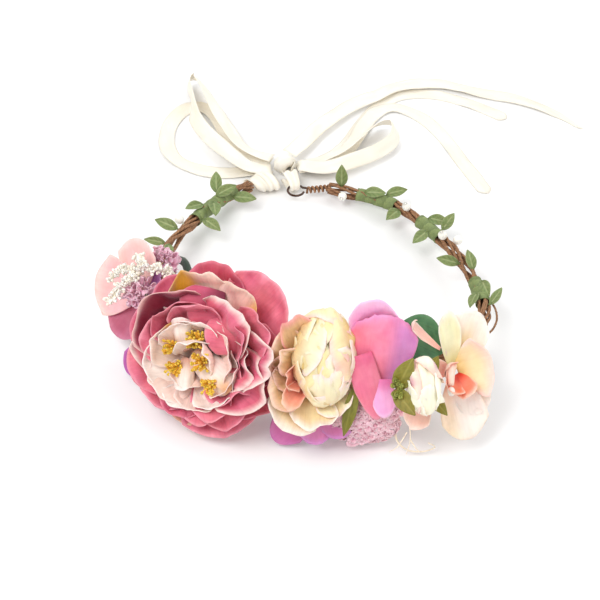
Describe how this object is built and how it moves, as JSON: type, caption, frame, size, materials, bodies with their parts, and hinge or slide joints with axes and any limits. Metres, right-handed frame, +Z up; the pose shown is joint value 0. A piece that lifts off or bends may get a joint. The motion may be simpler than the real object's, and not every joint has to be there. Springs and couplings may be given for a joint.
{
  "type": "flower crown",
  "caption": "Open twisted-vine hair wreath with silk blossoms across its front, small leaves and berries round its sides, and wire eyelets tied by a satin ribbon bow at the back.",
  "frame": {"origin": "on the table, under the middle of the whole piece's box", "axes": "+Z up from the table it lies on; -Y towards the flowers at its front; +Y towards the ribbon bow at its back; +X to the right seen from the front"},
  "size_m": [0.2834, 0.3425, 0.0845],
  "materials": {
    "bark_paper": "dry crinkled paper winding, reddish brown",
    "bare_wire": "thin dark brown lacquered wire",
    "green_tape": "waxy crinkled florist's tape, sage green",
    "sage_leaf": "stiffened printed cloth with a pale midrib",
    "dark_leaf": "stiffened printed cloth, dark green, veined",
    "berry": "smooth pearly white",
    "felt": "dark green felt",
    "rose_pink_silk": "matt woven polyester silk, deep rose with paler rims",
    "blush_silk": "matt woven polyester silk, blush to cream",
    "yellow_stamen": "powdery golden yellow anthers",
    "cream_silk": "matt woven polyester silk, cream to pale yellow",
    "peach_silk": "matt woven polyester silk, peach with cream and pink",
    "pale_pink_silk": "matt woven polyester silk, pale pink",
    "violet_silk": "matt woven polyester silk, pink at the throat to violet at the rim",
    "mauve_silk": "crinkled cut cloth florets, mauve",
    "ivory_satin": "soft ivory satin ribbon with selvedges"
  },
  "bodies": {
    "root": {"vine_strand_1": "bark_paper", "vine_strand_2": "bark_paper", "vine_strand_3": "bark_paper", "wire_eyelet_left": "bare_wire", "wire_eyelet_right": "bare_wire", "tape_wrap_left_end": "green_tape", "tape_wrap_right_end": "green_tape", "tape_wrap_right_middle": "green_tape", "tape_wrap_right_side": "green_tape", "vine_leaf_01": "sage_leaf", "vine_leaf_02": "sage_leaf", "vine_leaf_03": "sage_leaf", "vine_leaf_04": "sage_leaf", "vine_leaf_05": "sage_leaf", "vine_leaf_06": "sage_leaf", "vine_leaf_07": "sage_leaf", "vine_leaf_08": "sage_leaf", "vine_leaf_09": "sage_leaf", "vine_leaf_10": "sage_leaf", "strap_leaf": "sage_leaf", "bud_sepals": "sage_leaf", "peony_calyx": "sage_leaf", "berry_1": "berry", "berry_2": "berry", "berry_3": "berry", "berry_4": "berry", "felt_backing": "felt", "peony_guard_petals": "rose_pink_silk", "peony_outer_petals": "rose_pink_silk", "peony_middle_petals": "blush_silk", "peony_inner_petals": "blush_silk", "peony_stamens": "yellow_stamen", "rose_outer_petals": "peach_silk", "peach_orchid_petals": "peach_silk", "rose_middle_petals": "cream_silk", "rose_heart": "cream_silk", "flower_bud": "cream_silk", "cream_sprig": "cream_silk", "root_filament": "cream_silk", "left_orchid_petals": "pale_pink_silk", "peach_orchid_lip": "pale_pink_silk", "peach_orchid_column": "pale_pink_silk", "left_violet_petal": "violet_silk", "violet_upper_petal": "violet_silk", "violet_middle_petal": "violet_silk", "violet_lower_petal": "violet_silk", "violet_side_petal": "violet_silk", "left_orchid_column": "mauve_silk", "heather_cluster": "mauve_silk", "hydrangea_cluster": "mauve_silk", "broad_leaf": "dark_leaf", "bow_loop_left_long": "ivory_satin", "bow_loop_left_round": "ivory_satin", "bow_loop_right": "ivory_satin", "ribbon_tail_long": "ivory_satin", "ribbon_tail_back": "ivory_satin", "ribbon_tail_front": "ivory_satin", "ribbon_bight_left": "ivory_satin", "ribbon_bight_right": "ivory_satin", "ribbon_knot": "ivory_satin"}
  },
  "joints": []
}
